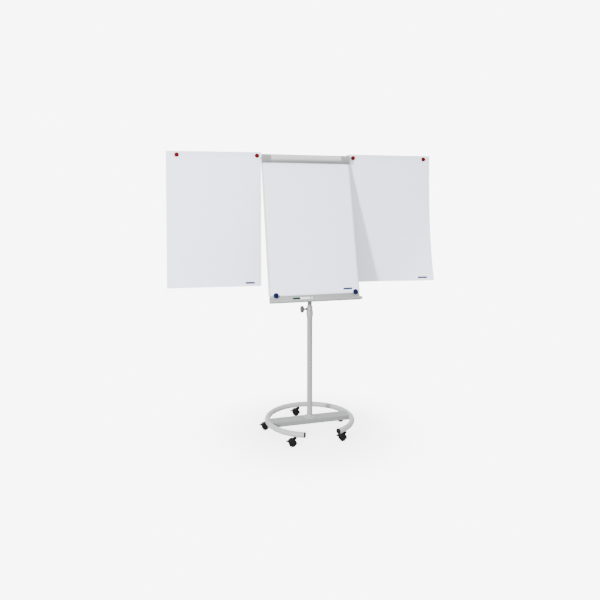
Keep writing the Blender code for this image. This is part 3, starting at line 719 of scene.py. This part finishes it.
# ---- board frame: x across, y into the board, z up its face
lean = {"angle": radians(13.8), "footY": -0.1515, "footZ": 0.9885}
onBoard = onPost @ placed(0, lean["footY"], lean["footZ"], turnX=-lean["angle"])
intoX = Matrix(((0, 0, 1, 0), (1, 0, 0, 0), (0, 1, 0, 0), (0, 0, 0, 1)))  # an (y, z) outline pulled along x


def alongBoard(low, y=0.0, z=0.0):
    return onBoard @ Matrix.Translation((low, y, z)) @ intoX


def keep(material, *nodes):
    for node in nodes:
        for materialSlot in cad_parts[node].material_slots:
            materialSlot.material = material


keep(frameMetal, "frame_left", "frame_right")
keep(railMetal, "top_rail")
keep(whiteFace, "writing_skin")
keep(coreBoard, "board_core")
keep(plated, "clamp_hinge_rod", "arm_pin_left", "arm_pin_right")
keep(greyPlastic, "guide_bush", "tube_plug")
for node, body, material, slot in (
    ("upper_bracket", "board", lightGrey, "light_grey_paint"),
    ("lower_bracket", "board", lightGrey, "light_grey_paint"),
    ("arm_bracket_left", "board", greyPlastic, "grey_plastic"),
    ("arm_bracket_right", "board", greyPlastic, "grey_plastic"),
    ("side_arm_left", "arm_left", armWhite, "white_metal"),
    ("side_arm_right", "arm_right", armWhite, "white_metal"),
):
    give(roundedCopy(node, f"{node}_shaped", 0.0008), material, body, slot, node)
print("board frame ready")

# ---- pad clamp: curved bar, ribbed end grips, sliding hooks
clamp = {
    "hingeY": -0.004, "hingeZ": 1.080, "arcY": 0.012, "arcZ": 1.058, "radius": 0.0420, "wall": 0.0025,
    "low": 1.025, "high": 1.089, "half": 0.272, "end": 0.340, "press": -0.0086, "ribs": 15, "rib": 0.0042,
}
hooks = {"left": -0.255, "right": 0.232}


def clampArc(radius, low, high, steps):
    turns = [acos((z - clamp["arcZ"]) / radius) for z in (low, high)]
    points = []
    for i in range(steps + 1):
        turn = turns[0] + (turns[1] - turns[0]) * i / steps
        points.append((clamp["arcY"] - radius * sin(turn), clamp["arcZ"] + radius * cos(turn)))
    return points


wall = clamp["wall"]
outer = clampArc(clamp["radius"], clamp["low"], clamp["high"], 30)
inside = clampArc(clamp["radius"] - wall, clamp["low"] + wall, clamp["high"] - wall, 24)
webY = -0.0100
shell = outer + [(webY, clamp["high"]), (webY, clamp["high"] - wall)] + inside[::-1]
shell += [(clamp["press"], clamp["low"] + wall), (clamp["press"], clamp["low"])]
long = 2 * clamp["half"] - 0.0006
clampBar = pulledPiece("clampBar", shell, [(long, 1.0)], 0.0005)
settle(clampBar, alongBoard(-long / 2))
give(clampBar, clampMetal, "pad_clamp", "satin_aluminium", "clamp_bar")

grip = outer + [(-0.0025, clamp["high"]), (0.0003, clamp["high"] - 0.002), (0.0005, clamp["high"] - 0.004)]
grip += [(0.0005, 1.054), (clamp["press"], 1.054), (clamp["press"], clamp["low"])]
middleY, middleZ = clamp["arcY"], clamp["arcZ"]
grip = [(y - middleY, z - middleZ) for y, z in grip]
long = clamp["end"] - clamp["half"]
for side, sign in (("left", -1), ("right", 1)):
    steps, depth = [(0.0012, 1.0)], 0.0030
    for i in range(clamp["ribs"]):
        steps += [(depth, 1.0), (depth + 0.0004, 0.975), (depth + 0.0010, 0.975), (depth + 0.0014, 1.0)]
        depth += clamp["rib"]
    steps += [(long - 0.0008, 1.0), (long, 0.985)]
    piece = pulledPiece(f"clampGrip_{side}", grip, steps, 0, 25)
    low = -clamp["end"] if sign < 0 else clamp["half"]
    if sign < 0:  # turned end for end, so the rounded end faces out
        settle(piece, Matrix.Translation((0, 0, long)) @ Matrix.Scale(-1, 4, (0, 0, 1)))
        tidyNormals(piece)
    rod = settle(plainRod("rodRoom", 0.0019, -0.01, long - 0.006 if sign > 0 else long + 0.01, 24),
                 Matrix.Translation((clamp["hingeY"] - middleY, clamp["hingeZ"] - middleZ, 0)))
    cutWith(piece, rod)
    smooth(piece, 25)
    settle(piece, alongBoard(low, middleY, middleZ))
    give(piece, greyPlastic, "pad_clamp", "grey_plastic", f"clamp_end_{side}")

hookShape = [
    (0.0165, 1.0703), (0.0165, 1.0925), (0.0160, 1.0945), (0.0140, 1.0960), (0.0080, 1.0960),
    (0.0060, 1.0948), (0.0052, 1.0930), (0.0052, 1.0738), (-0.0078, 1.0738), (-0.0085, 1.0731),
    (-0.0085, 1.0490), (-0.0055, 1.0490), (-0.0055, 1.0703),
]
for side, x in hooks.items():
    hook = pulledPiece(f"padHook_{side}", hookShape, [(0.022, 1.0)], 0.0007)
    settle(hook, alongBoard(x - 0.011))
    give(hook, greyPlastic, f"hook_{side}", "grey_plastic", f"pad_hook_{side}")
print("clamp ready")

# ---- pen tray with its end caps
tray = {"half": 0.3330, "cap": 0.0035, "top": 0.0495, "floor": 0.0155}


def roundCorner(centre, radius, start, end, steps=5):
    turns = [radians(start + (end - start) * i / steps) for i in range(steps + 1)]
    return [(centre[0] + radius * cos(turn), centre[1] + radius * sin(turn)) for turn in turns]


trayShape = [(0.018, tray["top"]), (0.018, 0.0), (-0.046, 0.0)]
trayShape += roundCorner((-0.0460, 0.0060), 0.0060, 265, 185, 7)
lip = tray["floor"] + 0.003
trayShape += [(-0.0520, lip - 0.0012)] + roundCorner((-0.05075, lip - 0.0012), 0.00125, 170, 10, 5)
trayShape += [(-0.0495, lip - 0.0016)] + roundCorner((-0.0480, lip - 0.0016), 0.0015, 190, 265, 4)
trayShape += [(-0.0030, tray["floor"]), (-0.0012, tray["floor"] + 0.0004), (-0.0003, tray["floor"] + 0.0012)]
trayShape += [(0.0, tray["floor"] + 0.0025), (0.0, tray["top"])]
penTray = pulledPiece("penTray", trayShape, [(2 * tray["half"], 1.0)], 0.0003, 30)
settle(penTray, alongBoard(-tray["half"]))
give(penTray, trayGrey, "board", "tray_paint", "pen_tray")

capShape = [(0.018, tray["top"] - 0.006), (0.018, 0.0), (-0.0440, -0.0003)]
capShape += roundCorner((-0.0462, 0.0066), 0.0068, 265, 185, 8)
capShape += [(-0.0530, 0.0156)] + roundCorner((-0.0492, 0.0172), 0.0038, 175, 95, 6)
capShape += [(-0.0200, 0.0222)] + roundCorner((-0.0120, 0.0322), 0.0100, 275, 355, 6)
capShape += [(0.0, tray["top"] - 0.004)]
for side, sign in (("left", -1), ("right", 1)):
    cap = pulledPiece(f"trayEnd_{side}", capShape, [(tray["cap"], 1.0)], 0.0009)
    low = tray["half"] + 0.0003
    settle(cap, alongBoard(low if sign > 0 else -low - tray["cap"]))
    give(cap, collarPlastic, "board", "grey_plastic", f"tray_end_cap_{side}")
print("tray ready")

# ---- marker in the trough
marker = {"x": -0.171, "y": -0.0098, "z": 0.0251}
lying = onBoard @ placed(marker["x"], marker["y"], marker["z"], turnY=pi / 2)
capProfile = [
    (0.0048, 0.0000), (0.0064, 0.0004), (0.0072, 0.0016), (0.0076, 0.0040), (0.0082, 0.0100),
    (0.0086, 0.0110), (0.0087, 0.0280), (0.0090, 0.0290), (0.0090, 0.0310), (0.0087, 0.0320),
    (0.0088, 0.0500), (0.0086, 0.0516), (0.0056, 0.0518), (0.0055, 0.0125), (0.0020, 0.0122),
]
markerCap = turnedPiece("markerCap", capProfile, 40, 30)
clip = addedBox("clip", (0.0076, -0.0022, 0.012), (0.0090, 0.0022, 0.046))
bevelEdges(clip, 0.0006, 2)
joined(markerCap, settle(clip, Matrix.Rotation(radians(205), 4, "Z")))
give(settle(markerCap, lying), greenGloss, "marker_lid", "green_plastic", "marker_cap")
bodyProfile = [
    (0.0014, 0.0142), (0.0020, 0.0150), (0.0046, 0.0240), (0.0050, 0.0260), (0.0050, 0.0522),
    (0.0082, 0.0524), (0.0085, 0.0530), (0.0085, 0.1265), (0.0082, 0.1268), (0.0082, 0.1272),
]
barrel = turnedPiece("markerBarrel", bodyProfile, 40, 30)
give(settle(barrel, lying), whiteGloss, "marker", "white_plastic", "marker_body")
bandProfile = [(0.0080, 0.1274), (0.0085, 0.1276), (0.0085, 0.1318), (0.0080, 0.1320)]
band = turnedPiece("markerBand", bandProfile, 40, 30)
give(settle(band, lying), barrelInk, "marker", "black_plastic")
tailProfile = [
    (0.0080, 0.1322), (0.0085, 0.1325), (0.0084, 0.1440), (0.0080, 0.1462), (0.0072, 0.1474),
    (0.0058, 0.1480),
]
tail = turnedPiece("markerTail", tailProfile, 40, 30)
give(settle(tail, lying), whiteGloss, "marker", "white_plastic")
print("marker ready")

# ---- round magnets
magnets = {
    "thick": 0.008, "small": 0.016, "big": 0.019, "skin": 0.0086,
    "onPad": {"left": (-0.292, 0.0535), "right": (0.304, 0.0570)},
}


def magnetPiece(name, radius):
    top = magnets["thick"]
    profile = [
        (radius - 0.0006, 0.0), (radius, 0.0006), (radius, top - 0.0044),
        (radius * 0.985, top - 0.0034), (radius * 0.94, top - 0.0024),
        (radius * 0.86, top - 0.0015), (radius * 0.74, top - 0.0008),
        (radius * 0.56, top - 0.0004), (radius * 0.36, top - 0.0001), (radius * 0.12, top),
    ]
    return turnedPiece(name, profile, 56, 40)


facing = Matrix.Rotation(pi / 2, 4, "X")
for side, (x, z) in magnets["onPad"].items():
    magnet = magnetPiece(f"padMagnet_{side}", magnets["big"])
    settle(magnet, onBoard @ Matrix.Translation((x, -magnets["skin"], z)) @ facing)
    give(magnet, blueGloss, "board", "blue_plastic", f"blue_magnet_{side}")

# ---- side sheets on their arms, in each arm's own frame: x outwards along the arm, y back
sheetCut = {
    "wide": 0.680, "tall": 0.985, "thick": 0.0003, "top": 2.063, "columns": 48, "rows": 72,
    "pivot": 0.350, "held": 0.045, "magnetDown": 0.026,
}
arms = {
    "left": {"sign": -1, "depth": 0.125, "turn": radians(-6.0), "start": -0.010, "front": 0.020,
             "magnets": (0.030, 0.605), "flare": 0.006, "belly": 0.004},
    "right": {"sign": 1, "depth": 0.149, "turn": radians(-2.5), "start": -0.006, "front": 0.030,
              "magnets": (0.040, 0.626), "flare": 0.105, "belly": 0.006},
}


# a sheet's forward reach: flat on its arm, then a light belly and a corner that curls forward
def sheetReach(arm, across, down):
    if down < sheetCut["held"]:
        return 0.0
    fall = (down - sheetCut["held"]) / (1 - sheetCut["held"])
    curl = max(across - 0.25, 0) / 0.75
    belly = arm["belly"] * sin(pi * fall) * (0.4 + 0.6 * sin(pi * across))
    return belly + arm["flare"] * curl ** 2.2 * fall ** 2.6


def hangSheet(side):
    arm = arms[side]
    sign = arm["sign"]
    columns, rows = sheetCut["columns"], sheetCut["rows"]
    deselect()
    bpy.ops.mesh.primitive_grid_add(x_subdivisions=columns, y_subdivisions=rows, size=1, calc_uvs=True)
    sheet = bpy.context.object
    sheet.name = f"sideSheet_{side}"
    face = -arm["front"] - 0.0006
    drop = sheetCut["tall"] / rows
    for column in range(columns + 1):
        across = column / columns
        z, y = sheetCut["top"], 0.0
        for row in range(rows + 1):
            down = row / rows
            y2 = sheetReach(arm, across, down)
            if row:
                z -= sqrt(max(drop ** 2 - (y2 - y) ** 2, 0))
            y = y2
            u = across if sign > 0 else 1 - across
            index = (rows - row) * (columns + 1) + round(u * columns)
            along = sign * (arm["start"] + sheetCut["wide"] * across)
            sheet.data.vertices[index].co = (along, face - y, z)
    wall = sheet.modifiers.new("paper", "SOLIDIFY")
    wall.thickness = sheetCut["thick"]
    wall.offset = 0
    applyModifiers(sheet)
    smooth(sheet, 40)
    pivot = onPost @ placed(sign * sheetCut["pivot"], arm["depth"], 0, turnZ=arm["turn"])
    settle(sheet, pivot)
    give(sheet, sidePaper, f"arm_{side}", "paper", f"side_sheet_{side}")
    for place, along in zip(("inner", "outer"), arm["magnets"]):
        magnet = magnetPiece(f"sheetMagnet_{side}_{place}", magnets["small"])
        spot = (sign * (arm["start"] + along), face - 0.0005, sheetCut["top"] - sheetCut["magnetDown"])
        settle(magnet, pivot @ Matrix.Translation(spot) @ facing)
        give(magnet, redGloss, f"arm_{side}", "red_plastic", f"red_magnet_{side}_{place}")


sidePaper = paperSheet("sidePaper", sheetCut["wide"], sheetCut["tall"])
for side in arms:
    hangSheet(side)
print("side sheets ready")

# ---- the pad: a block of leaves and its top leaf, which lifts a little along the foot
pad = {"half": 0.3275, "low": 0.057, "high": 1.047, "back": -0.0003, "front": -0.0074, "lift": 0.0045,
       "curlHigh": 0.10, "holdWide": 0.08}
blockLow = (-pad["half"], pad["front"], pad["low"])
blockHigh = (pad["half"], pad["back"], pad["high"])
block = addedBox("padBlock", blockLow, blockHigh)
bevelEdges(block, 0.0004, 1)
bpy.ops.object.mode_set(mode="EDIT")
bpy.ops.mesh.select_all(action="SELECT")
bpy.ops.mesh.bisect(plane_co=(0, 0, 0.09), plane_no=(0, 0, 1))
bpy.ops.object.mode_set(mode="OBJECT")
settle(block, onBoard)
give(block, padEdges("padLeaves", 1), "board", "paper", "paper_pad")

topCut = {"wide": 0.655, "tall": 0.990, "thick": 0.0003, "columns": 60, "rows": 80}


def padTopLeaf():
    columns, rows = topCut["columns"], topCut["rows"]
    deselect()
    bpy.ops.mesh.primitive_grid_add(x_subdivisions=columns, y_subdivisions=rows, size=1, calc_uvs=True)
    leaf = bpy.context.object
    leaf.name = "padTopLeaf"
    for index, vertex in enumerate(leaf.data.vertices):
        row, column = divmod(index, columns + 1)
        u, v = column / columns, row / rows
        x = (u - 0.5) * topCut["wide"]
        z = pad["low"] - 0.0012 + v * topCut["tall"]
        low = max(0.0, 1 - v / pad["curlHigh"])
        hold = min(abs(x - spot[0]) for spot in magnets["onPad"].values()) / pad["holdWide"]
        lift = pad["lift"] * low ** 2 * min(hold, 1.0) ** 1.5 * (0.75 + 0.25 * sin(9 * x))
        vertex.co = (x, pad["front"] - 0.0006 - lift, z)
    wall = leaf.modifiers.new("paper", "SOLIDIFY")
    wall.thickness = topCut["thick"]
    wall.offset = 0
    applyModifiers(leaf)
    smooth(leaf, 40)
    settle(leaf, onBoard)
    give(leaf, paperSheet("padPaper", topCut["wide"], topCut["tall"]), "board", "paper")


padTopLeaf()
print("pad ready")

# ---- room: a pale floor that fades into white surroundings, one broad lamp from the left front
room = {"floor": 2.4, "clear": 0.35, "faded": 1.0, "strength": 0.55, "shade": (0.90, 0.90, 0.905)}
light = {
    "above": 3.7, "below": 0.7, "behind": 8.0, "lamp": 950.0, "size": 0.4,
    "at": (-4.2, -3.96, 2.2), "toward": (0.3, 0.0, 1.5), "turnOver": 0.6,
}

floorPaint, shader, wire = newMaterial("floorPaint", 0.8, specular=0.2)
darker = tuple(v * 0.985 for v in room["shade"])
feed(blendColours(wire, noiseOn(wire, 3, 3), darker, room["shade"]), shader, "Base Color")
spot = wire.make("ShaderNodeTexCoord", output="Object")
centred = wire.make("ShaderNodeVectorMath", {"operation": "LENGTH"}, output=1, in0=spot)
fade = wire.make(
    "ShaderNodeMapRange", {"interpolation_type": "SMOOTHSTEP"}, Value=centred, From_Min=room["clear"],
    From_Max=room["faded"], To_Min=room["strength"], To_Max=0.0,
)
feed(fade, shader, "Alpha")
deselect()
bpy.ops.mesh.primitive_circle_add(vertices=96, radius=room["floor"] / 2, fill_type="NGON")
floor = bpy.context.object
floor.name = "floor"
floor.data.materials.append(floorPaint)

world = bpy.data.worlds.new("softWhite")
world.use_nodes = True
sky = Wire(world.node_tree)
seen = sky.make("ShaderNodeLightPath", output="Is Camera Ray")
looking = sky.make("ShaderNodeTexCoord", output="Generated")
upward = sky.make("ShaderNodeSeparateXYZ", output=2, Vector=looking)
soft = sky.make(
    "ShaderNodeMapRange", {"interpolation_type": "SMOOTHSTEP"}, Value=upward, From_Min=-light["turnOver"],
    From_Max=light["turnOver"], To_Min=light["below"], To_Max=light["above"],
)
strength = seen * light["behind"] + (1 - seen) * soft
sky.tree.links.new(strength.socket, sky.tree.nodes["Background"].inputs["Strength"])
sky.tree.nodes["Background"].inputs["Color"].default_value = (1, 1, 1, 1)
bpy.context.scene.world = world
bpy.ops.object.light_add(type="AREA", location=light["at"])
lamp = bpy.context.object
lamp.name = "sideLamp"
lamp.data.energy = light["lamp"]
lamp.data.size = light["size"]
aim = Vector(light["toward"]) - Vector(light["at"])
lamp.rotation_euler = aim.to_track_quat("-Z", "Y").to_euler()

shot = {"at": (-1.259, -4.077, 1.687), "down": 2.6, "yaw": -16.2, "lens": 34.84, "shift": -0.1167}
turned = (radians(90 - shot["down"]), 0, radians(shot["yaw"]))
bpy.ops.object.camera_add(location=Vector(shot["at"]) + postAxis, rotation=turned)
camera = bpy.context.object
camera.name = "camera"
camera.data.lens = shot["lens"]
camera.data.sensor_width = 36
camera.data.shift_y = shot["shift"]
bpy.context.scene.camera = camera

print("scene ready")
